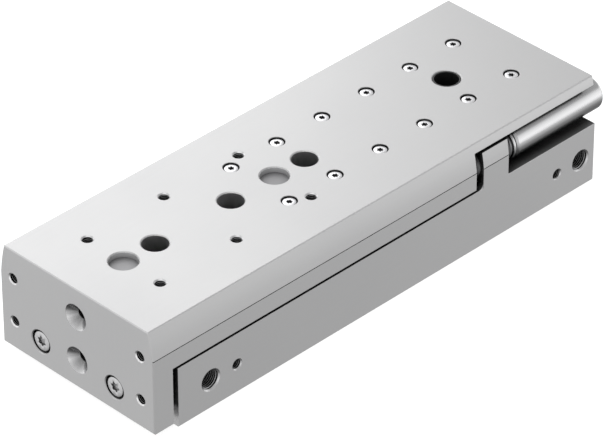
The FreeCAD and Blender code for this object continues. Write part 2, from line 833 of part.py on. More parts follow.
def make_circlip(y, x_low):
    # An open spring ring with two eyed ends, sprung into the bore's groove.
    outer = bore_radius + clip_groove_depth - seat_clearance
    inner = outer - clip_band - clip_groove_depth
    x_high = x_low + clip_thickness
    shape = ring(inner, outer, x_low, x_high, y, bore_height)
    half_gap = clip_opening / 2
    behind = x_low - overrun
    ahead = x_high + overrun
    for side in (1, -1):
        eye_y = y + side * (half_gap + clip_lug_side)
        eye_z = bore_height - inner + clip_lug_lift
        lug = rod_along_x(clip_lug_radius, x_low, x_high, eye_y, eye_z)
        shape = shape.fuse(lug).cut(rod_along_x(clip_eye_radius, behind, ahead, eye_y, eye_z))
    gap = box(behind, ahead, y - half_gap, y + half_gap, bore_height - 2 * bore_radius, bore_height)
    return shape.cut(gap).removeSplitter()


def make_circlips():
    clips = []
    for y in (bore_side, -bore_side):
        clips.append(make_circlip(y, housing_rear + clip_inset))
        clips.append(make_circlip(y, housing_front - clip_inset - clip_thickness))
    return Part.makeCompound(clips)


def make_piston(y):
    back = piston_back
    front = piston_front
    seal_rear = back + piston_seal_inset
    seal_front = front - piston_seal_inset
    magnet_low = (back + front - magnet_length) / 2
    magnet_high = magnet_low + magnet_length
    wear_low = magnet_high + wear_ring_offset
    wear_high = wear_low + wear_ring_length
    spigot = piston_spigot_radius + seat_clearance
    pocket = back + nut_height + nut_setback
    break_radius = piston_radius - piston_break
    outline = [(back, nut_pocket_radius), (back, break_radius), (back + piston_break, piston_radius)]
    grooves = (
        (seal_rear, seal_rear + piston_seal_length, piston_seal_core),
        (magnet_low, magnet_high, magnet_core),
        (wear_low, wear_high, wear_ring_core),
        (seal_front - piston_seal_length, seal_front, piston_seal_core),
    )
    for low, high, core in grooves:
        outline += [(low, piston_radius), (low, core), (high, core), (high, piston_radius)]
    outline += [(front - piston_break, piston_radius), (front, break_radius), (front, spigot)]
    outline += [(pocket, spigot), (pocket, nut_pocket_radius)]
    return turned(outline, y, bore_height)


def make_piston_seals(y):
    seals = []
    rear = piston_back + piston_seal_inset
    front = piston_front - piston_seal_inset
    core = piston_seal_core + seat_clearance
    lip = bore_radius - running_clearance
    root = piston_radius - piston_seal_heel
    for start, direction in ((rear, 1), (front, -1)):
        near = start + direction * seat_clearance
        far_side = start + direction * (piston_seal_length - seat_clearance)
        crest = near + direction * piston_seal_lip
        seals.append(turned([
            (near, core), (near, lip - piston_seal_lip), (crest, lip),
            (crest + direction * piston_seal_lip, lip), (far_side, root), (far_side, core),
        ], y, bore_height))
    return Part.makeCompound(seals)


def make_magnet(y):
    low = piston_back + (piston_length - magnet_length) / 2
    inner = magnet_core + seat_clearance
    high = low + magnet_length - seat_clearance
    return ring(inner, magnet_radius, low + seat_clearance, high, y, bore_height)


def make_wear_ring(y):
    low = piston_back + (piston_length + magnet_length) / 2 + wear_ring_offset
    inner = wear_ring_core + seat_clearance
    outer = bore_radius - running_clearance
    return ring(inner, outer, low + seat_clearance, low + wear_ring_length - seat_clearance, y, bore_height)


def make_rod(y):
    shaft = rod_along_x(rod_radius, piston_front, yoke_back, y, bore_height)
    spigot_end = piston_back + spigot_setback
    spigot = rod_along_x(piston_spigot_radius, spigot_end, piston_front + reach_in, y, bore_height)
    shape = shaft.fuse(spigot).removeSplitter()
    depth = rod_screw_thread_length + thread_spare
    return shape.cut(rod_along_x(m5_core_radius, yoke_back - depth, yoke_back + overrun, y, bore_height))


def make_piston_nuts():
    nuts = []
    across_corners = nut_width / math.cos(math.radians(30)) / 2
    nut_face = piston_back + nut_setback
    for y in (bore_side, -bore_side):
        corners = []
        for step in range(6):
            angle = math.radians(60 * step)
            corner_y = y + across_corners * math.cos(angle)
            corner_z = bore_height + across_corners * math.sin(angle)
            corners.append(FreeCAD.Vector(nut_face, corner_y, corner_z))
        nut = Part.Face(Part.makePolygon(corners + [corners[0]])).extrude(FreeCAD.Vector(nut_height, 0, 0))
        inner = piston_spigot_radius + running_clearance
        nuts.append(nut.cut(rod_along_x(inner, piston_back, nut_face + nut_height + overrun, y, bore_height)))
    return Part.makeCompound(nuts)


# The shock absorbers
def make_shock_body(y):
    # A threaded barrel with a rim that is the fixed stop, and a chamber for the plunger behind it.
    core = shock_sleeve_inner - running_clearance
    button = plunger_button_radius + plunger_button_gap
    button_floor = shock_front - plunger_button_length - plunger_button_spare
    chamber_front = button_floor - shock_guide_length
    chamber_end = shock_end + shock_chamber_setback
    barrel_end = shock_end + shock_barrel_setback
    guide = plunger_radius + running_clearance
    rim = shock_rim_break
    return turned([
        (shock_front, button), (shock_front, shock_radius - rim), (shock_front - rim, shock_radius),
        (shock_thread_end, shock_radius), (shock_thread_end, core), (barrel_end, core), (barrel_end, 0),
        (chamber_end, 0), (chamber_end, shock_chamber_radius), (chamber_front, shock_chamber_radius),
        (chamber_front, guide), (button_floor, guide), (button_floor, button),
    ], y, shock_height)


def make_lock_ring(y):
    high = shock_thread_end - shock_ring_gap
    low = high - shock_ring_length
    inner = shock_sleeve_inner
    outer = shock_sleeve_radius
    rim = shock_ring_break
    return turned([
        (low, inner), (low, outer - rim), (low + rim, outer),
        (high - rim, outer), (high, outer - rim), (high, inner),
    ], y, shock_height)


def make_shock_sleeve(y):
    # The bright cover of the barrel's rear part, with a rounded closed end.
    front = shock_sleeve_front
    end = shock_end
    outer = shock_sleeve_radius
    inner = shock_sleeve_inner
    rim = shock_sleeve_break
    floor = end + shock_sleeve_floor
    corner = FreeCAD.Vector(end, y, shock_height + outer - shock_end_round)
    bend = shock_end_round * arc_middle
    middle = FreeCAD.Vector(end + bend, y, shock_height + outer - bend)
    shoulder = FreeCAD.Vector(end + shock_end_round, y, shock_height + outer)
    path = [
        FreeCAD.Vector(end, y, shock_height), corner, shoulder,
        FreeCAD.Vector(front - rim, y, shock_height + outer),
        FreeCAD.Vector(front, y, shock_height + outer - rim),
        FreeCAD.Vector(front, y, shock_height + inner),
        FreeCAD.Vector(floor, y, shock_height + inner),
        FreeCAD.Vector(floor, y, shock_height),
    ]
    edges = [Part.makeLine(path[0], path[1]), Part.Arc(corner, middle, shoulder).toShape()]
    for index in range(2, len(path)):
        edges.append(Part.makeLine(path[index], path[(index + 1) % len(path)]))
    face = Part.Face(Part.Wire(edges))
    return face.revolve(FreeCAD.Vector(0, y, shock_height), FreeCAD.Vector(1, 0, 0), 360)


def make_plunger(y, extension):
    tip = shock_front + extension
    button_back = tip - plunger_button_length
    rod_end = button_back - plunger_rod_length
    piston_end = rod_end - plunger_piston_length
    piston_side = shock_chamber_radius - plunger_piston_gap
    rim = plunger_break
    return turned([
        (tip, 0), (tip, plunger_button_radius - rim), (tip - rim, plunger_button_radius),
        (button_back, plunger_button_radius), (button_back, plunger_radius), (rod_end, plunger_radius),
        (rod_end, piston_side), (piston_end, piston_side), (piston_end, 0),
    ], y, shock_height)


def make_access_liner():
    x = lined_place
    top = overall_height - liner_sink
    outer = rod_along_z(liner_radius - seat_clearance, rail_bottom + liner_foot, top, x, 0)
    return outer.cut(rod_along_z(liner_radius - liner_wall, rail_bottom, overall_height, x, 0))


parts = {
    "housing": make_housing(),
    "slide": make_slide(),
    "guide_rail": make_rail(),
    "rail_screws": make_rail_screws(),
    "access_hole_liner": make_access_liner(),
    "guide_runner": make_runner(),
    "runner_cap_front": make_runner_cap(runner_steel_front, 1),
    "runner_cap_rear": make_runner_cap(runner_steel_back, -1),
    "runner_wiper_front": make_wiper(runner_steel_front + runner_cap_length, 1),
    "runner_wiper_rear": make_wiper(runner_steel_back - runner_cap_length, -1),
    "left_guide_balls": make_balls(1),
    "right_guide_balls": make_balls(-1),
    "runner_screws": make_runner_screws(),
    "runner_cap_screws": make_cap_screws(),
    "rod_screws": make_rod_screws(),
    "piston_nuts": make_piston_nuts(),
    "bore_circlips": make_circlips(),
}

for name, y in (("left", bore_side), ("right", -bore_side)):
    parts[name + "_rod_gland"] = make_gland(y)
    parts[name + "_gland_ring"] = make_gland_ring(y)
    parts[name + "_rod_seal"] = make_rod_seal(y)
    parts[name + "_rod_bush"] = make_rod_bush(y)
    parts[name + "_rear_cap"] = make_rear_cap(y)
    parts[name + "_cap_ring"] = make_cap_ring(y)
    parts[name + "_bumper"] = make_bumper(y)
    parts[name + "_piston"] = make_piston(y)
    parts[name + "_piston_seals"] = make_piston_seals(y)
    parts[name + "_piston_magnet"] = make_magnet(y)
    parts[name + "_wear_ring"] = make_wear_ring(y)
    parts[name + "_piston_rod"] = make_rod(y)

for name, y, extension in (("retract", shock_side, 0.0), ("advance", -shock_side, plunger_stroke)):
    parts[name + "_shock_body"] = make_shock_body(y)
    parts[name + "_lock_ring"] = make_lock_ring(y)
    parts[name + "_shock_sleeve"] = make_shock_sleeve(y)
    parts[name + "_plunger"] = make_plunger(y, extension)

os.makedirs("parts", exist_ok=True)
for name, shape in parts.items():
    shape.exportStep("parts/" + name + ".step")
    print(name, "valid" if shape.isValid() else "INVALID", len(shape.Solids), round(shape.Volume, 1))
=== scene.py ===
# %% [markdown]
# # A pneumatic slide table, dressed for its picture
#
# The part is a low aluminium housing with two air cylinders, and an L-shaped slide that rides over it.
# Its shapes come from a finished CAD model, which this script loads as a frame and never bends or moves.
# What is left to make here is what the eye reads as real: the finishes, the threads, the star-shaped
# screw sockets and the light. Each step below first says what the real thing is and how it could be made.

# %% Load the frame
import math

import bmesh
import bpy
from mathutils import Matrix, Vector


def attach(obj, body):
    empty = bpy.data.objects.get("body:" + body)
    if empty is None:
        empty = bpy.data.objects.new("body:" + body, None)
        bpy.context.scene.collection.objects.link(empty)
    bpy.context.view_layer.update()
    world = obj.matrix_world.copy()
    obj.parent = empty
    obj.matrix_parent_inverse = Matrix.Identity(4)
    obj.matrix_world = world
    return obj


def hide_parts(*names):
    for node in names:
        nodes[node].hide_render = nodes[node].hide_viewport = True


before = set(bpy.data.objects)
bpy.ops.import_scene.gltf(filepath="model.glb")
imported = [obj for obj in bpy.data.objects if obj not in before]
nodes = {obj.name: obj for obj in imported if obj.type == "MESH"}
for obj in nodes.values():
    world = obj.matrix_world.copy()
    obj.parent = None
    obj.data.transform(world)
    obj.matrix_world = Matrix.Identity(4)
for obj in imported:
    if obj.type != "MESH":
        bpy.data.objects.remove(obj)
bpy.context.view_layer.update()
mm = 0.001

# %% [markdown]
# ## The camera
#
# A product photograph of a machine part is taken from far away with a long lens, so that parallel edges
# stay almost parallel. The same is done here: the camera stands 1.8 m away behind a 275 mm lens.
# Its direction is written as two angles, because they say more to a reader than a matrix does, and the
# three axes of the camera follow from them.

# %% Camera at the photograph's angle
azimuth = math.radians(135.106)
elevation = math.radians(35.044)
roll = math.radians(-0.132)
camera_distance = 1791.24 * mm
aim = Vector((27.25, 0.0, 25.26)) * mm
aim_right = 13.21 * mm
aim_up = 4.81 * mm

along_floor = math.cos(elevation)
back = Vector((math.sin(azimuth) * along_floor, -math.cos(azimuth) * along_floor, math.sin(elevation)))
level = Vector((0, 0, 1)).cross(back).normalized()
upright = back.cross(level)
right = level * math.cos(roll) + upright * math.sin(roll)
up = upright * math.cos(roll) - level * math.sin(roll)

camera = bpy.data.objects.new("camera", bpy.data.cameras.new("camera"))
bpy.context.scene.collection.objects.link(camera)
camera.data.sensor_width = 36.0
camera.data.lens = 274.97
camera.data.clip_end = 20.0
camera_axes = Matrix((right, up, back)).transposed()
camera_place = aim + right * aim_right + up * aim_up + back * camera_distance
camera.matrix_world = Matrix.LocRotScale(camera_place, camera_axes, None)
bpy.context.scene.camera = camera
print("camera at", [round(v, 3) for v in camera.location])

# %% [markdown]
# ## Helpers for nodes
#
# The floor, the sky, the finishes and the repeated pieces are all made with nodes. They could be placed
# by hand in Blender's editors, but a script can be run again after every change. Five helpers keep it
# short: they add a node, join two sockets, do a sum, start a node group with named inputs, and use it.

# %% Node helpers
def add(tree, kind, **settings):
    node = tree.nodes.new(kind)
    for key, value in settings.items():
        setattr(node, key, value)
    return node


def wire(tree, source, target):
    tree.links.new(source, target)


def math_node(tree, operation, first, second):
    node = add(tree, "ShaderNodeMath", operation=operation)
    for socket, value in zip(node.inputs, (first, second)):
        if isinstance(value, (int, float)):
            socket.default_value = value
        else:
            wire(tree, value, socket)
    return node.outputs[0]


def new_group(name, kind, inputs, outputs):
    group = bpy.data.node_groups.new(name, kind)
    for label, socket_type, value in inputs:
        socket = group.interface.new_socket(label, in_out="INPUT", socket_type=socket_type)
        if value is not None:
            socket.default_value = value
    for label, socket_type in outputs:
        group.interface.new_socket(label, in_out="OUTPUT", socket_type=socket_type)
    return group, add(group, "NodeGroupInput"), add(group, "NodeGroupOutput")


def group_node(tree, group, **values):
    node = add(tree, "ShaderNodeGroup", node_tree=group)
    for label, value in values.items():
        node.inputs[label].default_value = value
    return node


print("node helpers:", [helper.__name__ for helper in (add, wire, math_node, new_group, group_node)])

# %% [markdown]
# ## The floor
#
# In a cut-out product picture the part stands on clean white paper. Here that is a wide plane with a pale
# finish that glows a little, so that hardly a shadow shows on it. Only the camera sees it, and only from
# above. Every other ray passes through it, so the metal mirrors the sky below the horizon instead, where
# its grey can be chosen, and a view from below shows the underside. The plane lies a hair under the
# part, because two faces at one height would flicker.

# %% Floor
scene = bpy.context.scene
scene.view_settings.view_transform = "Standard"

floor_half = 6.0
floor_height = -0.0002
floor_mesh = bpy.data.meshes.new("floor")
floor_corners = [(x * floor_half, y * floor_half, floor_height) for x, y in ((-1, -1), (1, -1), (1, 1), (-1, 1))]
floor_mesh.from_pydata(floor_corners, [], [(0, 1, 2, 3)])
floor = bpy.data.objects.new("floor", floor_mesh)
scene.collection.objects.link(floor)

floor_finish = bpy.data.materials.new("pale paper floor")
floor_finish.use_nodes = True
paper = floor_finish.node_tree
paper_shader = paper.nodes["Principled BSDF"]
paper_shader.inputs["Base Color"].default_value = (0.3, 0.3, 0.3, 1)
paper_shader.inputs["Emission Color"].default_value = (1.0, 1.0, 1.0, 1)
paper_shader.inputs["Emission Strength"].default_value = 0.85
paper_shader.inputs["Roughness"].default_value = 0.9
ray = add(paper, "ShaderNodeLightPath")
side_seen = add(paper, "ShaderNodeNewGeometry")
from_above = add(paper, "ShaderNodeMath", operation="SUBTRACT", use_clamp=True)
see_through = add(paper, "ShaderNodeBsdfTransparent")
floor_seen = add(paper, "ShaderNodeMixShader")
wire(paper, ray.outputs["Is Camera Ray"], from_above.inputs[0])
wire(paper, side_seen.outputs["Backfacing"], from_above.inputs[1])
wire(paper, from_above.outputs[0], floor_seen.inputs[0])
wire(paper, see_through.outputs[0], floor_seen.inputs[1])
wire(paper, paper_shader.outputs[0], floor_seen.inputs[2])
wire(paper, floor_seen.outputs[0], paper.nodes["Material Output"].inputs["Surface"])
floor_mesh.materials.append(floor_finish)
print("floor", 2 * floor_half, "m wide, at", floor_height / mm, "mm")

# %% [markdown]
# ## The sky
#
# Bare metal shows what stands around it, so most of its look is made by the room. A flat face mirrors
# one narrow band of directions, so the sky is a ramp of greys by height, from -1 straight below to 1
# overhead. Seen from 35 degrees above, the upright faces mirror the band at -0.574 and the top mirrors
# the band at 0.574. The curved flanks and the sleeve run through the bands between, and undersides
# mirror the dark ones below. The sky also leans towards the left of the picture, more so high up, so
# that a long face fades from the yoke to the rear.

# %% Sky
heights_and_greys = (
    (-1.0, 0.04), (-0.8, 0.20), (-0.574, 0.62), (-0.3, 0.65),
    (-0.05, 0.97), (0.3, 0.74), (0.574, 0.54), (1.0, 0.54),
)
sky_strength = 1.6
picture_left = (0.707, -0.707, 0.0)
lean_by_height = {"From Min": 0.15, "From Max": 0.5, "To Min": 0.13, "To Max": 0.3}

world = bpy.data.worlds.new("studio")
scene.world = world
world.use_nodes = True
sky = world.node_tree
direction = add(sky, "ShaderNodeTexCoord")
split = add(sky, "ShaderNodeSeparateXYZ")
wire(sky, direction.outputs["Generated"], split.inputs[0])

climb = add(sky, "ShaderNodeMapRange")
climb.inputs["From Min"].default_value = -1.0
greys = add(sky, "ShaderNodeValToRGB")
stops = greys.color_ramp.elements
for height, shade in heights_and_greys[1:-1]:
    stops.new((height + 1) / 2)
for stop, (height, shade) in zip(stops, heights_and_greys):
    stop.color = (shade, shade, shade, 1)
wire(sky, split.outputs["Z"], climb.inputs["Value"])
wire(sky, climb.outputs["Result"], greys.inputs["Fac"])
wire(sky, greys.outputs["Color"], sky.nodes["Background"].inputs["Color"])

leftness = add(sky, "ShaderNodeVectorMath", operation="DOT_PRODUCT")
leftness.inputs[1].default_value = picture_left
lean = add(sky, "ShaderNodeMapRange", interpolation_type="SMOOTHSTEP")
for label, value in lean_by_height.items():
    lean.inputs[label].default_value = value
strength = add(sky, "ShaderNodeMath", operation="MULTIPLY_ADD")
strength.inputs[1].default_value = sky_strength
strength.inputs[2].default_value = sky_strength
wire(sky, direction.outputs["Generated"], leftness.inputs[0])
wire(sky, split.outputs["Z"], lean.inputs["Value"])
swing = math_node(sky, "MULTIPLY", leftness.outputs["Value"], lean.outputs["Result"])
wire(sky, swing, strength.inputs[0])
wire(sky, strength.outputs[0], sky.nodes["Background"].inputs["Strength"])
print("sky with", len(stops), "greys")

# %% [markdown]
# ## Soft panels
#
# Three large lamps stand for the white panels of a studio. The top mirrors the one at the left, which is
# nearer to the yoke: so the top fades from almost white at the front to a light grey at the rear. The
# one at the right is low and faint, and lifts the port side. The one overhead is the largest and lights
# the floors of the recesses and the deck.

# %% Panels
def panel(name, place, target, size, watts):
    lamp = bpy.data.lights.new(name, "AREA")
    lamp.shape = "RECTANGLE"
    lamp.size, lamp.size_y = size
    lamp.energy = watts
    holder = bpy.data.objects.new(name, lamp)
    scene.collection.objects.link(holder)
    holder.location = place
    holder.rotation_euler = (Vector(target) - Vector(place)).to_track_quat("-Z", "Y").to_euler()
    return holder


panels = [
    panel("panel at the left", (-0.030, -0.695, 0.422), (0.346, -0.318, 0.049), (1.0, 0.8), 3.2),
    panel("panel at the right", (-0.47, 0.40, 0.09), (-0.1, 0.04, 0.04), (0.5, 0.4), 0.40),
    panel("panel overhead", (0.5, 0.2, 2.0), (0, 0, 0), (2.2, 2.2), 18),
]
print("lights:", [holder.name for holder in panels])

# %% [markdown]
# ## Shared shader effects
#
# Several finishes need the same few effects, so each is built once as a node group with named inputs.
# *Grain* is the very fine unevenness of a blasted and anodised surface. *Tool marks* are fine lines that
# a cutter or a lathe leaves; stretching a noise along one direction gives them. *Soft edge* rounds the
# shading at every sharp edge and finds a mask of the edge, where handling rubs a finish bright. A bevel
# on the mesh could do that as well, but the CAD mesh stays untouched, so the shader does it.

# %% Grain
def make_grain():
    group, given, result = new_group(
        "Grain", "ShaderNodeTree",
        [("Fine", "NodeSocketFloat", 2600.0), ("Cloud", "NodeSocketFloat", 14.0)],
        [("Grain", "NodeSocketFloat"), ("Cloud", "NodeSocketFloat")],
    )
    place = add(group, "ShaderNodeTexCoord")
    for size, detail, mask in (("Fine", 2.0, "Grain"), ("Cloud", 3.0, "Cloud")):
        noise = add(group, "ShaderNodeTexNoise")
        noise.inputs["Detail"].default_value = detail
        wire(group, place.outputs["Object"], noise.inputs["Vector"])
        wire(group, given.outputs[size], noise.inputs["Scale"])
        wire(group, noise.outputs["Fac"], result.inputs[mask])
    return group


grain_group = make_grain()
print("group", grain_group.name, "has", len(grain_group.nodes), "nodes")


# %% Tool marks
def make_tool_marks():
    group, given, result = new_group(
        "Tool marks", "ShaderNodeTree",
        [("Stretch", "NodeSocketVector", (1000.0, 10.0, 10.0))],
        [("Lines", "NodeSocketFloat")],
    )
    place = add(group, "ShaderNodeTexCoord")
    scaled = add(group, "ShaderNodeVectorMath", operation="MULTIPLY")
    wire(group, place.outputs["Object"], scaled.inputs[0])
    wire(group, given.outputs["Stretch"], scaled.inputs[1])
    noise = add(group, "ShaderNodeTexNoise")
    noise.inputs["Scale"].default_value = 1.0
    noise.inputs["Detail"].default_value = 3.0
    wire(group, scaled.outputs[0], noise.inputs["Vector"])
    wire(group, noise.outputs["Fac"], result.inputs["Lines"])
    return group


marks_group = make_tool_marks()
print("group", marks_group.name, "has", len(marks_group.nodes), "nodes")


# %% Soft edge
def make_soft_edge():
    group, given, result = new_group(
        "Soft edge", "ShaderNodeTree",
        [("Radius", "NodeSocketFloat", 0.0002), ("Reach", "NodeSocketFloat", 6.0),
         ("Patchy", "NodeSocketFloat", 0.6), ("Patches", "NodeSocketFloat", 260.0)],
        [("Normal", "NodeSocketVector"), ("Edge", "NodeSocketFloat")],
    )
    bevel = add(group, "ShaderNodeBevel", samples=6)
    wire(group, given.outputs["Radius"], bevel.inputs["Radius"])
    surface = add(group, "ShaderNodeNewGeometry")
    likeness = add(group, "ShaderNodeVectorMath", operation="DOT_PRODUCT")
    wire(group, bevel.outputs["Normal"], likeness.inputs[0])
    wire(group, surface.outputs["Normal"], likeness.inputs[1])
    turned_away = math_node(group, "SUBTRACT", 1.0, likeness.outputs["Value"])
    wide = math_node(group, "MULTIPLY", turned_away, given.outputs["Reach"])
    place = add(group, "ShaderNodeTexCoord")
    noise = add(group, "ShaderNodeTexNoise")
    wire(group, place.outputs["Object"], noise.inputs["Vector"])
    wire(group, given.outputs["Patches"], noise.inputs["Scale"])
    patch = math_node(group, "MULTIPLY", noise.outputs["Fac"], given.outputs["Patchy"])
    rubbed = add(group, "ShaderNodeMath", operation="SUBTRACT", use_clamp=True)
    wire(group, wide, rubbed.inputs[0])
    wire(group, patch, rubbed.inputs[1])
    wire(group, rubbed.outputs[0], result.inputs["Edge"])
    wire(group, bevel.outputs["Normal"], result.inputs["Normal"])
    return group


edge_group = make_soft_edge()
print("group", edge_group.name, "has", len(edge_group.nodes), "nodes")

# %% [markdown]
# ## Gaps and undersides
#
# A gap of one millimetre between two aluminium walls looks black on the real table, because light dies
# in it after a few bounces. A renderer with few bounces and a bright sky leaves it grey, so that shade
# is painted into the colour. *Crevice* asks how much a point sees within a short reach, and the base
# colour is darkened towards black where that is little: painted shade. Nothing is left below *Closed*,
# and *Depth* says how fast the rest falls. Close to the floor it doesn't count, because the foot of the
# housing is no gap. *Underside* darkens the colour of a piece below a height: a painted dark reflection
# on the polished sleeve, whose lower half mirrors the dark deck under it.

# %% Crevice: painted shade in gaps
def make_crevice():
    group, given, result = new_group(
        "Crevice", "ShaderNodeTree",
        [("Reach", "NodeSocketFloat", 0.008), ("Depth", "NodeSocketFloat", 2.0), ("Closed", "NodeSocketFloat", 0.0),
         ("Counts above", "NodeSocketFloat", 0.0105), ("Not below", "NodeSocketFloat", 0.0085)],
        [("Open", "NodeSocketFloat")],
    )
    # How open a point is. It later darkens the base colour in gaps: painted shade.
    around = add(group, "ShaderNodeAmbientOcclusion", samples=8)
    wire(group, given.outputs["Reach"], around.inputs["Distance"])
    seen = add(group, "ShaderNodeMapRange")
    wire(group, around.outputs["AO"], seen.inputs["Value"])
    wire(group, given.outputs["Closed"], seen.inputs["From Min"])
    place = add(group, "ShaderNodeTexCoord")
    height = add(group, "ShaderNodeSeparateXYZ")
    wire(group, place.outputs["Object"], height.inputs[0])
    foot = add(group, "ShaderNodeMapRange")
    wire(group, height.outputs["Z"], foot.inputs["Value"])
    wire(group, given.outputs["Counts above"], foot.inputs["From Min"])
    wire(group, given.outputs["Not below"], foot.inputs["From Max"])
    either = math_node(group, "MAXIMUM", seen.outputs["Result"], foot.outputs["Result"])
    wire(group, math_node(group, "POWER", either, given.outputs["Depth"]), result.inputs["Open"])
    return group


crevice_shade_group = make_crevice()
print("group", crevice_shade_group.name, "has", len(crevice_shade_group.nodes), "nodes")


# %% Underside: a painted dark reflection
def make_underside():
    group, given, result = new_group(
        "Underside", "ShaderNodeTree",
        [("Low", "NodeSocketFloat", 0.0), ("High", "NodeSocketFloat", 0.01), ("Kept", "NodeSocketFloat", 0.5)],
        [("Shade", "NodeSocketFloat")],
    )
    place = add(group, "ShaderNodeTexCoord")
    height = add(group, "ShaderNodeSeparateXYZ")
    wire(group, place.outputs["Object"], height.inputs[0])
    # Below Low the colour keeps only the share Kept, rising to full by High: a painted dark reflection.
    rise = add(group, "ShaderNodeMapRange", interpolation_type="SMOOTHSTEP")
    wire(group, height.outputs["Z"], rise.inputs["Value"])
    for label, source in (("From Min", "Low"), ("From Max", "High"), ("To Min", "Kept")):
        wire(group, given.outputs[source], rise.inputs[label])
    wire(group, rise.outputs["Result"], result.inputs["Shade"])
    return group


dark_reflection_group = make_underside()
print("group", dark_reflection_group.name, "has", len(dark_reflection_group.nodes), "nodes")

# %% [markdown]
# ## Finishes
#
# Every finish is the same recipe with other numbers: two close colours that drift into each other, a
# roughness that wanders a little with the cloud and the tool marks, a bump from the same marks, the
# soft edge, and shade painted into the colour of the gaps. One function builds them all, because a
# family of materials that share their wiring is easier to tune than as many hand-made ones. Constants
# sit on the shader itself, and only what varies over the surface is wired.

# %% The recipe
def mixed_colour(tree, first, second, amount):
    mix = add(tree, "ShaderNodeMix", data_type="RGBA")
    for label, colour in (("A", first), ("B", second)):
        if isinstance(colour, tuple):
            mix.inputs[label].default_value = (*colour, 1)
        else:
            wire(tree, colour, mix.inputs[label])
    wire(tree, amount, mix.inputs["Factor"])
    return mix.outputs["Result"]


def finish(name, colour, shade, rough, spread, metallic=1.0, stretch=None, marks=0.0, grain=0.15,
           edge=None, edge_amount=0.5, bump=0.00001, reach=0.008, depth=2.0, closed=0.0, underside=None):
    material = bpy.data.materials.new(name)
    material.use_nodes = True
    tree = material.node_tree
    shader = tree.nodes["Principled BSDF"]
    shader.inputs["Metallic"].default_value = metallic

    grains = group_node(tree, grain_group)
    soft = group_node(tree, edge_group)
    tint = mixed_colour(tree, colour, shade, grains.outputs["Cloud"])
    rubbed = math_node(tree, "MULTIPLY", soft.outputs["Edge"], edge_amount)
    brighter = mixed_colour(tree, tint, edge or colour, rubbed)
    # Painted shade: the base colour is darkened towards black where a gap leaves little open space.
    lit = group_node(tree, crevice_shade_group, Reach=reach, Depth=depth, Closed=closed).outputs["Open"]
    # On the sleeve the colour is also darkened below a height: a painted dark reflection of the deck.
    if underside:
        low, high, kept = underside
        painted_dark_reflection = group_node(tree, dark_reflection_group, Low=low, High=high, Kept=kept)
        lit = math_node(tree, "MULTIPLY", lit, painted_dark_reflection.outputs["Shade"])
    wire(tree, mixed_colour(tree, (0.0, 0.0, 0.0), brighter, lit), shader.inputs["Base Color"])

    height = math_node(tree, "MULTIPLY", grains.outputs["Grain"], grain)
    wander = math_node(tree, "MULTIPLY", grains.outputs["Cloud"], spread)
    if stretch:
        lines = group_node(tree, marks_group, Stretch=stretch)
        ridges = math_node(tree, "MULTIPLY", lines.outputs["Lines"], marks)
        height = math_node(tree, "ADD", height, ridges)
        streaks = math_node(tree, "MULTIPLY", lines.outputs["Lines"], spread)
        wander = math_node(tree, "ADD", wander, streaks)
    wire(tree, math_node(tree, "ADD", wander, rough - spread / 2), shader.inputs["Roughness"])

    relief = add(tree, "ShaderNodeBump")
    relief.inputs["Distance"].default_value = bump
    wire(tree, height, relief.inputs["Height"])
    wire(tree, soft.outputs["Normal"], relief.inputs["Normal"])
    wire(tree, relief.outputs["Normal"], shader.inputs["Normal"])
    return material


def grey(level, blue=None):
    return (level, level, level if blue is None else blue)


print("a grey with a touch of blue:", grey(0.62, 0.63))

# %% Aluminium
finishes = {
    "slide_aluminium": finish(
        "anodised slide", grey(0.47), grey(0.44, 0.445), 0.45, 0.06,
        stretch=(40.0, 1600.0, 40.0), marks=0.10, grain=0.5, edge=grey(0.7), edge_amount=0.1),
    # The housing's gaps are painted darker still, so that narrow ones such as the deck under the skirt and the
    # sleeve go black: painted shade.
    "housing_aluminium": finish(
        "anodised housing", grey(0.46), grey(0.43, 0.435), 0.45, 0.06,
        stretch=(40.0, 1600.0, 900.0), marks=0.10, grain=0.5, edge=grey(0.65), edge_amount=0.1,
        depth=1.0, closed=0.22),
    "cap_aluminium": finish(
        "turned aluminium", grey(0.62, 0.63), grey(0.56, 0.57), 0.3, 0.08,
        stretch=(30.0, 2400.0, 2400.0), marks=0.4, grain=0.1, edge=grey(0.8)),
}
print(len(finishes), "finishes of aluminium")

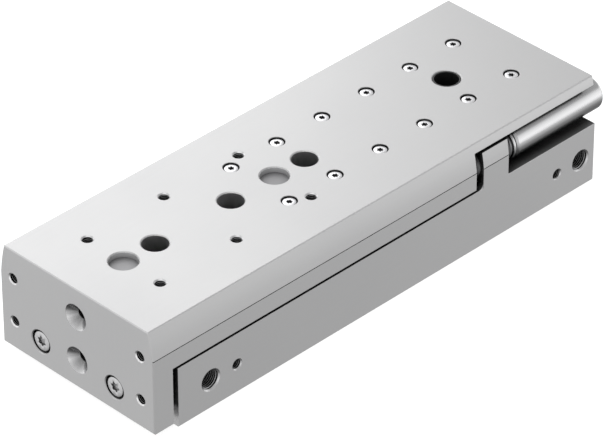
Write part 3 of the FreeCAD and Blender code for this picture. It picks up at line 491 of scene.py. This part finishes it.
# %% Walls cut in the aluminium, several with light and shade painted into their greys
finishes.update({
    "bright_cut": finish(
        "freshly cut cone", grey(0.66, 0.665), grey(0.60, 0.605), 0.3, 0.06,
        grain=0.2, edge=grey(0.9), reach=0.002, depth=0.3),
    "dull_cut": finish(
        "anodised cone", grey(0.48, 0.485), grey(0.43, 0.435), 0.3, 0.06,
        grain=0.2, edge=grey(0.6), reach=0.002, depth=0.6),
    # Dark grey for the short bores behind the countersinks: painted shade.
    "drilled_wall": finish(
        "drilled wall", grey(0.16, 0.165), grey(0.12, 0.125), 0.42, 0.08,
        grain=0.2, edge=grey(0.9), edge_amount=0.2, reach=0.003, depth=1.0),
    # Bright grey for the walls of the access holes: painted light.
    "bored_wall": finish(
        "bored wall", grey(0.80, 0.805), grey(0.74, 0.745), 0.34, 0.08,
        grain=0.2, edge=grey(0.9), edge_amount=0.2, reach=0.005, depth=1.0),
    # A darker floor and a brighter, partly matt wall for the recesses: painted shade and painted light.
    "milled_recess": finish(
        "milled recess", grey(0.28, 0.285), grey(0.24, 0.245), 0.5, 0.08,
        grain=0.2, edge=grey(0.5), edge_amount=0.2, reach=0.004, depth=0.5),
    "milled_wall": finish(
        "milled wall", grey(0.66, 0.665), grey(0.60, 0.605), 0.3, 0.08, metallic=0.7,
        grain=0.2, edge=grey(0.95), edge_amount=0.2, reach=0.002, depth=0.4),
    "countersunk": finish(
        "countersunk cone", grey(0.56, 0.565), grey(0.48, 0.485), 0.2, 0.06,
        grain=0.2, edge=grey(0.8), edge_amount=0.2, reach=0.008, depth=2.0),
    # Nearly black tapped walls are painted shade. The crests' lighter grey and bright edges are a painted
    # highlight.
    "tapped_wall": finish(
        "tapped wall", grey(0.05, 0.055), grey(0.04, 0.045), 0.3, 0.08,
        grain=0.2, edge=grey(0.4), reach=0.005, depth=1.6),
    "thread_crest": finish(
        "thread crests", grey(0.32, 0.325), grey(0.28, 0.285), 0.3, 0.08,
        grain=0.2, edge=grey(0.8), reach=0.005, depth=1.3),
})
print(len(finishes), "finishes with the cut walls")

# %% Steel and bronze
finishes.update({
    "guide_steel": finish(
        "ground steel", grey(0.42, 0.43), grey(0.35, 0.36), 0.24, 0.08,
        stretch=(12.0, 2200.0, 2200.0), marks=0.4, grain=0.1, edge=grey(0.6)),
    "ball_steel": finish("polished balls", grey(0.62, 0.63), grey(0.56, 0.57), 0.08, 0.04, grain=0.05),
    "screw_steel": finish(
        "zinc plated screws", grey(0.74, 0.75), grey(0.68, 0.7), 0.26, 0.08,
        stretch=(900.0, 900.0, 900.0), marks=0.3, grain=0.3, edge=grey(0.95), depth=1.0),
    "rod_screw_steel": finish(
        "nickel plated screws", grey(0.56, 0.565), grey(0.50, 0.505), 0.34, 0.08,
        stretch=(900.0, 900.0, 900.0), marks=0.3, grain=0.3, edge=grey(0.75), depth=1.0),
    "spring_steel": finish(
        "oiled spring steel", grey(0.10, 0.105), grey(0.07, 0.075), 0.36, 0.1, grain=0.3, edge=grey(0.35)),
    "shock_thread_steel": finish(
        "blackened thread", grey(0.24, 0.245), grey(0.18, 0.185), 0.3, 0.1,
        stretch=(1500.0, 60.0, 60.0), marks=0.3, grain=0.3, edge=grey(0.5), depth=1.0),
    # The sleeve's colour is darkened below 34.8 mm: a painted dark reflection of the deck under it.
    "shock_sleeve_steel": finish(
        "polished sleeve", grey(0.49, 0.495), grey(0.46, 0.465), 0.2, 0.06,
        stretch=(1800.0, 30.0, 30.0), marks=0.3, grain=0.05, edge=grey(0.9),
        reach=0.010, depth=0.7, underside=(0.0348, 0.0372, 0.48)),
    "rod_chrome": finish(
        "hard chrome", (0.66, 0.67, 0.68), (0.61, 0.62, 0.63), 0.1, 0.05,
        stretch=(1800.0, 20.0, 20.0), marks=0.15, grain=0.05, edge=grey(0.8)),
    "bush_bronze": finish(
        "bearing bronze", (0.48, 0.33, 0.18), (0.36, 0.23, 0.12), 0.4, 0.1,
        stretch=(1800.0, 20.0, 20.0), marks=0.3, grain=0.4, edge=(0.7, 0.5, 0.3)),
})
print(len(finishes), "finishes with steel and bronze")

# %% Magnets, plastics and rubber
finishes.update({
    "magnet_ferrite": finish(
        "pressed ferrite", grey(0.045, 0.05), grey(0.03, 0.035), 0.55, 0.1, metallic=0.0,
        grain=0.8, edge=grey(0.12), bump=0.00003),
    "cap_plastic": finish(
        "moulded cap", (0.035, 0.06, 0.035), (0.028, 0.05, 0.03), 0.42, 0.1, metallic=0.0,
        grain=0.5, edge=(0.08, 0.1, 0.08), bump=0.00002),
    "black_plastic": finish(
        "black lining", grey(0.012), grey(0.008), 0.36, 0.1, metallic=0.0,
        stretch=(700.0, 700.0, 12.0), marks=0.5, grain=0.2, edge=grey(0.05), bump=0.00002),
    "seal_rubber": finish(
        "seal rubber", grey(0.016, 0.017), grey(0.011, 0.012), 0.62, 0.12, metallic=0.0,
        grain=0.7, edge=grey(0.04), bump=0.00003),
})
print(len(finishes), "finishes in all")

# %% Give each CAD node its finish
unfinished = []
for name, node in nodes.items():
    for slot in node.material_slots:
        key = slot.material.name.split(".")[0]
        if key in finishes:
            slot.material = finishes[key]
        else:
            unfinished.append((name, key))
print("nodes without a finish:", unfinished)

# %% [markdown]
# ## Turned shapes
#
# A screw head, a screw's shank and the barrel of a shock absorber are all made on a lathe, so they are
# all described here as a list of rings: a radius and a height, from the deepest point up the outside
# and down again inside. A ring's radius may change with the angle, and six soft lobes make the star
# socket that the screws in the photograph have. Sharp corners stay sharp and round walls are smooth.

# %% Turned shapes from rings
full_turn = 2 * math.pi
turned_crease = 35.0


def skin(mesh_data, crease):
    for polygon in mesh_data.polygons:
        polygon.use_smooth = True
    mesh_data.set_sharp_from_angle(angle=math.radians(crease))


def turned(name, rings, around):
    # A shape whose ends don't reach the middle is a ring, and its last loop joins its first.
    shape = bmesh.new()
    loops = []
    for radius, height in rings:
        if radius == 0:
            loops.append([shape.verts.new((0, 0, height * mm))])
            continue
        loop = []
        for step in range(around):
            angle = full_turn * step / around
            out = (radius(angle) if callable(radius) else radius) * mm
            loop.append(shape.verts.new((out * math.cos(angle), out * math.sin(angle), height * mm)))
        loops.append(loop)
    if rings[0][0] != 0:
        loops.append(loops[0])
    for low, high in zip(loops, loops[1:]):
        for step in range(around):
            after = (step + 1) % around
            corners = [low[step % len(low)], low[after % len(low)], high[after % len(high)], high[step % len(high)]]
            shape.faces.new(list(dict.fromkeys(corners)))
    data = bpy.data.meshes.new(name)
    shape.to_mesh(data)
    shape.free()
    skin(data, turned_crease)
    return data


print("turned shapes stay smooth below", turned_crease, "degrees")


# %% Screws and the barrel, turned
def star(middle, lobe, scale):
    return lambda angle: (middle + lobe * math.cos(6 * angle)) * scale


def socket_screw(name, length, shank, head_height, head, middle, lobe, socket_depth):
    tip = 0.2
    corner = 0.05
    edge = 0.12 * head
    rings = [
        # The shank, from its tip up to the head.
        (0, -length), (0.85 * shank, -length), (shank, -length + tip), (shank, -head_height),
        # The head, up to its rounded edge.
        (head - corner, -head_height), (head, -head_height + corner), (head, -edge),
        (head - 0.3 * edge, -0.3 * edge), (head - edge, 0),
        # The star socket, a little wider at its mouth, down to its dished floor.
        (star(middle, lobe, 1.07), 0), (star(middle, lobe, 1.0), -0.08), (star(middle, lobe, 0.97), -socket_depth),
        (star(middle, lobe, 0.5), -socket_depth - 0.15), (0, -socket_depth - 0.2),
    ]
    return turned(name, rings, 72)


rail_screw = socket_screw(
    "rail screw", length=11.0, shank=1.22, head_height=3.0, head=2.85, middle=1.18, lobe=0.2, socket_depth=1.3)
rod_screw = socket_screw(
    "rod screw", length=20.6, shank=2.07, head_height=5.0, head=4.3, middle=1.9, lobe=0.33, socket_depth=1.0)

plain_radius = 6.27
root_radius = 6.44
barrel = turned("barrel", [
    # The plain end inside the sleeve, and the threaded half at the thread's root.
    (0, 0), (plain_radius, 0), (plain_radius, 50.5), (root_radius, 50.5), (root_radius, 72.5), (6.0, 73.0),
    # The opening at the front, the plunger's hole and the chamber behind it.
    (4.15, 73.0), (4.15, 69.8), (1.63, 69.8), (1.63, 66.0), (4.5, 66.0), (4.5, 3.0), (0, 3.0),
], 64)
print("faces:", len(rail_screw.polygons), len(rod_screw.polygons), len(barrel.polygons))

# %% [markdown]
# ## Threads
#
# A thread is a ridge that climbs around a cylinder. The CAD model has smooth holes at the thread's core
# size, so the ridge is added here: a spiral carries a three-cornered profile along itself. In a tapped
# hole the ridge points inward, on a barrel outward, and a half turn of the profile changes one into the
# other. Modelling the ridge works better than a bump here, because the port's threads are seen edge on.

# %% The thread tree
def end_tree(tree, mesh, given, result):
    real = add(tree, "GeometryNodeRealizeInstances")
    wire(tree, mesh, real.inputs["Geometry"])
    coated = add(tree, "GeometryNodeSetMaterial")
    wire(tree, real.outputs["Geometry"], coated.inputs["Geometry"])
    wire(tree, given.outputs["Finish"], coated.inputs["Material"])
    wire(tree, coated.outputs["Geometry"], result.inputs["Geometry"])
    return tree


def make_thread_tree():
    tree, given, result = new_group(
        "Thread ridge", "GeometryNodeTree",
        [("Geometry", "NodeSocketGeometry", None), ("Radius", "NodeSocketFloat", 0.002),
         ("Pitch", "NodeSocketFloat", 0.0008), ("Length", "NodeSocketFloat", 0.006),
         ("Ridge", "NodeSocketFloat", 0.0003), ("Width", "NodeSocketFloat", 0.0007),
         ("Outward", "NodeSocketFloat", 0.0), ("Steps", "NodeSocketInt", 32),
         ("Finish", "NodeSocketMaterial", None)],
        [("Geometry", "NodeSocketGeometry")],
    )
    spiral = add(tree, "GeometryNodeCurveSpiral")
    turns = math_node(tree, "DIVIDE", given.outputs["Length"], given.outputs["Pitch"])
    wire(tree, given.outputs["Steps"], spiral.inputs["Resolution"])
    wire(tree, turns, spiral.inputs["Rotations"])
    wire(tree, given.outputs["Radius"], spiral.inputs["Start Radius"])
    wire(tree, given.outputs["Radius"], spiral.inputs["End Radius"])
    wire(tree, given.outputs["Length"], spiral.inputs["Height"])
    level_line = add(tree, "GeometryNodeSetCurveNormal", mode="Z_UP")
    wire(tree, spiral.outputs["Curve"], level_line.inputs["Curve"])

    # A triangle in a circle of radius 1 is 1.5 high and the root of 3 wide.
    profile = add(tree, "GeometryNodeCurvePrimitiveCircle")
    profile.inputs["Resolution"].default_value = 3
    profile.inputs["Radius"].default_value = 1.0
    size = add(tree, "ShaderNodeCombineXYZ")
    wire(tree, math_node(tree, "DIVIDE", given.outputs["Ridge"], 1.5), size.inputs["X"])
    wire(tree, math_node(tree, "DIVIDE", given.outputs["Width"], math.sqrt(3)), size.inputs["Y"])
    sized = add(tree, "GeometryNodeTransform")
    wire(tree, profile.outputs["Curve"], sized.inputs["Geometry"])
    wire(tree, size.outputs["Vector"], sized.inputs["Scale"])
    half_turn = add(tree, "FunctionNodeAxisAngleToRotation")
    wire(tree, math_node(tree, "MULTIPLY", given.outputs["Outward"], math.pi), half_turn.inputs["Angle"])
    pointed = add(tree, "GeometryNodeTransform")
    wire(tree, sized.outputs["Geometry"], pointed.inputs["Geometry"])
    wire(tree, half_turn.outputs["Rotation"], pointed.inputs["Rotation"])

    ridge = add(tree, "GeometryNodeCurveToMesh")
    ridge.inputs["Fill Caps"].default_value = True
    wire(tree, level_line.outputs["Curve"], ridge.inputs["Curve"])
    wire(tree, pointed.outputs["Geometry"], ridge.inputs["Profile Curve"])
    return end_tree(tree, ridge.outputs["Mesh"], given, result)


thread_tree = make_thread_tree()
print("tree", thread_tree.name, "has", len(thread_tree.nodes), "nodes")

# %% [markdown]
# ## One shape at many places
#
# Screws and holes repeat, so each shape is made once, and a second tree sets a copy of it at every point
# of a small mesh and turns its axis to where the hole or the screw faces. A seeded number turns each
# copy about that axis. Objects that share a mesh could do the same, but one piece for each set is easier
# to carry along with the body that it belongs to.

# %% The tree that sets a shape at its places
def make_set_tree():
    tree, given, result = new_group(
        "Set at places", "GeometryNodeTree",
        [("Geometry", "NodeSocketGeometry", None), ("Piece", "NodeSocketObject", None),
         ("Facing", "NodeSocketVector", (0.0, 0.0, 1.0)), ("Turn", "NodeSocketFloat", full_turn),
         ("Seed", "NodeSocketInt", 1), ("Finish", "NodeSocketMaterial", None)],
        [("Geometry", "NodeSocketGeometry")],
    )
    shape = add(tree, "GeometryNodeObjectInfo")
    wire(tree, given.outputs["Piece"], shape.inputs["Object"])
    facing = add(tree, "FunctionNodeAlignRotationToVector", axis="Z")
    wire(tree, given.outputs["Facing"], facing.inputs["Vector"])
    chance = add(tree, "FunctionNodeRandomValue", data_type="FLOAT")
    least, most = [socket for socket in chance.inputs if socket.enabled and socket.name in ("Min", "Max")]
    least.default_value = 0.0
    wire(tree, given.outputs["Turn"], most)
    wire(tree, given.outputs["Seed"], chance.inputs["Seed"])
    spin = add(tree, "FunctionNodeAxisAngleToRotation")
    wire(tree, next(socket for socket in chance.outputs if socket.enabled), spin.inputs["Angle"])
    spun = add(tree, "FunctionNodeRotateRotation", rotation_space="LOCAL")
    wire(tree, facing.outputs["Rotation"], spun.inputs["Rotation"])
    wire(tree, spin.outputs["Rotation"], spun.inputs["Rotate By"])
    set_down = add(tree, "GeometryNodeInstanceOnPoints")
    wire(tree, given.outputs["Geometry"], set_down.inputs["Points"])
    wire(tree, shape.outputs["Geometry"], set_down.inputs["Instance"])
    wire(tree, spun.outputs["Rotation"], set_down.inputs["Rotation"])
    return end_tree(tree, set_down.outputs["Instances"], given, result)


set_tree = make_set_tree()
print("tree", set_tree.name, "has", len(set_tree.nodes), "nodes")


# %% Grow a tree into a plain mesh
thread_crease = 25.0


def grown(name, tree, start, **values):
    holder = bpy.data.objects.new(name, start)
    scene.collection.objects.link(holder)
    modifier = holder.modifiers.new(tree.name, "NODES")
    modifier.node_group = tree
    for item in tree.interface.items_tree:
        if item.in_out == "INPUT" and item.name in values:
            modifier[item.identifier] = values[item.name]
    evaluated = holder.evaluated_get(bpy.context.evaluated_depsgraph_get())
    holder.data = bpy.data.meshes.new_from_object(evaluated)
    holder.modifiers.clear()
    return holder


def thread(name, look, wall, ridge, pitch, length, inward, steps, spread):
    # The ridge's foot lies just under the wall that carries it.
    direction = -1 if inward else 1
    line = wall + direction * (ridge / 3 - 0.02)
    coil = grown(
        name, thread_tree, bpy.data.meshes.new(name), Radius=line * mm, Pitch=pitch * mm, Length=length * mm,
        Ridge=ridge * mm, Width=spread * pitch * mm, Outward=float(not inward), Steps=steps, Finish=finishes[look])
    coil_mesh = coil.data
    bpy.data.objects.remove(coil)
    skin(coil_mesh, thread_crease)
    return coil_mesh


def put(name, shape, places, facing, body, slot, seed, replaced=(), turn=full_turn, look=None):
    template = bpy.data.objects.new(name + " template", shape)
    scene.collection.objects.link(template)
    points = bpy.data.meshes.new(name)
    points.from_pydata([Vector(place) * mm for place in places], [], [])
    piece = grown(
        name, set_tree, points, Piece=template, Facing=facing, Turn=turn, Seed=seed, Finish=finishes[look or slot])
    bpy.data.objects.remove(template)
    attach(piece, body)
    if replaced:
        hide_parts(*replaced)
    print(name, "-", len(places), "places,", len(piece.data.polygons), "faces")
    return piece


print("threads stay smooth below", thread_crease, "degrees")

# %% [markdown]
# ## Screws
#
# Twelve small screws hold the guide rail, in two rows on a 25 mm pitch, and two larger ones hold the
# piston rods to the yoke. One shape is set at each place by the tree above. A screw stops turning
# wherever its torque is reached, so a fixed seed gives each star its own angle.

# %% Screws at their places
front_face = 128.3
top = 49.2
upward = (0, 0, 1)
forward = (1, 0, 0)
to_port_side = (0, 1, 0)

rail_screw_front = 31.1
rail_screw_pitch = 25.0
rail_screw_side = 16.0
rail_screw_height = 48.7
rail_places = [
    (rail_screw_front - rail_screw_pitch * step, side * rail_screw_side, rail_screw_height)
    for step in range(6) for side in (1, -1)
]
put("rail_screw_heads", rail_screw, rail_places, upward, "slide", "screw_steel", 7, ["rail_screws"])

rod_screw_sunk = 0.4
rod_screw_side = 20.4
rod_screw_height = 13.75
rod_places = [(front_face - rod_screw_sunk, side * rod_screw_side, rod_screw_height) for side in (1, -1)]
put("rod_screw_heads", rod_screw, rod_places, forward, "slide", "screw_steel", 3, ["rod_screws"],
    look="rod_screw_steel")

# %% [markdown]
# ## Linings of the holes
#
# A countersink leaves a bright cone at the mouth. The other walls get greys that stand in for light and
# shade: the nearly black tapped wall is painted shade, its lighter crests a painted highlight, the bright
# bored and recess walls painted light, and the darker recess floors painted shade.
# The CAD solid has one finish all over, so every hole gets thin turned shells that lie just proud of its
# walls, each a piece with its own finish. Painting the walls of the CAD mesh would work too, but a shell
# leaves that mesh as it is.

# %% Shells for cones and walls
proud = 0.06
buried = 0.12
around_small = 48
around_large = 96


def cone_ring(name, wall, cone, around=around_small):
    return turned(name, [
        (wall + buried, -cone - buried), (wall + cone + 0.4 * buried, -1.2 * buried),
        (wall + cone - proud, -0.3 * proud), (wall - proud, -cone - 0.3 * proud),
    ], around)


def wall_shell(name, wall, start, depth, blind, around=around_small):
    outside = [(wall + buried, -depth - buried), (wall + buried, -start - 0.1)]
    inside = [(wall - proud, -start), (wall - proud, -depth + proud)]
    if blind:
        return turned(name, [(0, -depth - buried)] + outside + inside + [(0, -depth + proud)], around)
    return turned(name, outside + inside, around)


def floor_disc(name, wall, depth, around):
    return turned(name, [
        (0, -depth - buried), (wall + buried, -depth - buried), (wall, -depth + proud), (0, -depth + proud),
    ], around)


print("shells stand", proud, "mm proud of the walls and reach", buried, "mm into them")

# %% [markdown]
# ## Threaded holes
#
# The slide, the yoke and the port side have M5 holes with a pitch of 0.8 mm, and the two ports have
# G 1/8 threads with a pitch of 0.907 mm. Each gets a cone at its mouth, a wall painted nearly black as
# shade, and a ridge whose lighter crests are a painted highlight. The ridge starts behind the cone and
# ends short of the floor, as a tap leaves it. The yoke's holes go through and their cones are freshly
# cut, while the others were cut before the anodising and are duller.

# %% Threaded holes with their mouths, walls and ridges
m5 = {"wall": 2.1, "cone": 0.5, "ridge": 0.24, "pitch": 0.8}
g_eighth = {"wall": 4.3, "cone": 0.65, "ridge": 0.46, "pitch": 0.907}
behind_mouth = 0.3
short_of_floor = 0.6
crest_spread = 0.5


def tapped(name, places, facing, body, slot, seed, wall, cone, ridge, pitch, depth, blind, mouth="dull_cut"):
    crests = thread(
        name + " coil", "thread_crest", wall, ridge, pitch, depth - cone - behind_mouth - short_of_floor,
        inward=True, steps=36, spread=crest_spread)
    crests.transform(Matrix.Translation((0, 0, (short_of_floor - depth) * mm)))
    # The wall's near-black grey is painted shade, and the crests' lighter grey is a painted highlight.
    shapes = (
        ("_mouths", cone_ring(name + " mouth", wall, cone), mouth),
        ("_walls", wall_shell(name + " wall", wall, cone, depth, blind), "tapped_wall"),
        ("_threads", crests, "thread_crest"),
    )
    for ending, shape, look in shapes:
        put(name + ending, shape, places, facing, body, slot, seed, look=look)


grid_front = 103.2
grid_pitch = 40.0
grid_side = 20.0
yoke_side = 35.0
yoke_heights = (15.8, 35.8)
yoke_depth = 9.8
port_side = 42.1
port_height = 13.1
port_fronts = (98.8, -107.8)
side_hole_fronts = (85.0, -93.9)
top_places = [(grid_front - grid_pitch * step, side * grid_side, top) for step in range(3) for side in (1, -1)]
yoke_places = [(front_face, side * yoke_side, height) for height in yoke_heights for side in (1, -1)]
side_places = [(x, port_side, port_height) for x in side_hole_fronts]
port_places = [(x, port_side, port_height) for x in port_fronts]
tapped("top_holes", top_places, upward, "slide", "slide_aluminium", 11, **m5, depth=8.2, blind=True)
tapped("yoke_holes", yoke_places, forward, "slide", "slide_aluminium", 12, **m5, depth=yoke_depth, blind=False,
       mouth="bright_cut")
tapped("side_holes", side_places, to_port_side, "housing", "housing_aluminium", 13, **m5, depth=7.0, blind=True)
tapped("ports", port_places, to_port_side, "housing", "housing_aluminium", 14, **g_eighth, depth=8.0, blind=False)

# %% [markdown]
# ## Plain holes
# Two shallow recesses in the top take centring sleeves, and three wide holes let a long key reach the
# bolts in the housing. Their walls are painted bright as light, and the floors of the recesses darker
# as shade. The two countersunk holes in the yoke have a deep polished cone and a short bore behind it,
# painted dark as shade. None of them has a thread, so walls, floors and cones are all that they need.

# %% Recesses, access holes and countersinks
rim = 0.35
recess_radius = 6.0
recess_depth = 2.6
recess_places = [(grid_front - grid_pitch * step, 0, top) for step in (0, 2)]
put("centring_recess_floors", floor_disc("recess floor", recess_radius, recess_depth, around_large),
    recess_places, upward, "slide", "slide_aluminium", 15, look="milled_recess")
put("centring_recess_walls", wall_shell("recess", recess_radius, rim, recess_depth, False, around_large),
    recess_places, upward, "slide", "slide_aluminium", 15, look="milled_wall")

access_front = 86.8
access_radius = 5.5
access_depth = 8.8
access_places = [(access_front - grid_pitch * step, 0, top) for step in range(3)]
put("access_hole_walls", wall_shell("access hole", access_radius, rim, access_depth, False, around_large),
    access_places, upward, "slide", "slide_aluminium", 16, look="bored_wall")

countersink_core = 2.25
countersink_depth = 3.5
countersink_places = [(front_face, 0, height) for height in yoke_heights]
put("yoke_countersinks", cone_ring("countersink", countersink_core, countersink_depth, around_large),
    countersink_places, forward, "slide", "slide_aluminium", 17, look="countersunk")
countersink_bore = wall_shell("countersink bore", countersink_core, countersink_depth, yoke_depth, False)
put("yoke_countersink_bores", countersink_bore, countersink_places, forward, "slide", "slide_aluminium", 17,
    look="drilled_wall")

# %% [markdown]
# ## Shock absorber barrels
#
# Each barrel carries a fine M14 thread with a pitch of 1 mm, which shows as a few dark crests between
# the lug and the lock ring. The barrel is turned and the ridge wound on it, and both are one mesh that
# takes the place of the smooth CAD barrel.

# %% Barrels with their threads
barrel_rear = -119.7
barrel_side = 33.4
barrel_height = 35.6
thread_start = 50.9
coil = thread("barrel coil", "shock_thread_steel", root_radius, ridge=0.56, pitch=1.0, length=21.6, inward=False,
              steps=48, spread=0.92)
coil.transform(Matrix.Translation((0, 0, thread_start * mm)))
both = bmesh.new()
both.from_mesh(barrel)
both.from_mesh(coil)
threaded_barrel = bpy.data.meshes.new("threaded barrel")
both.to_mesh(threaded_barrel)
both.free()
skin(threaded_barrel, thread_crease)
for side, body, name in ((1, "housing", "retract_shock_body"), (-1, "slide", "advance_shock_body")):
    put(name + "_threaded", threaded_barrel.copy(), [(barrel_rear, side * barrel_side, barrel_height)], forward,
        body, "shock_thread_steel", 5, [name], turn=0.0)
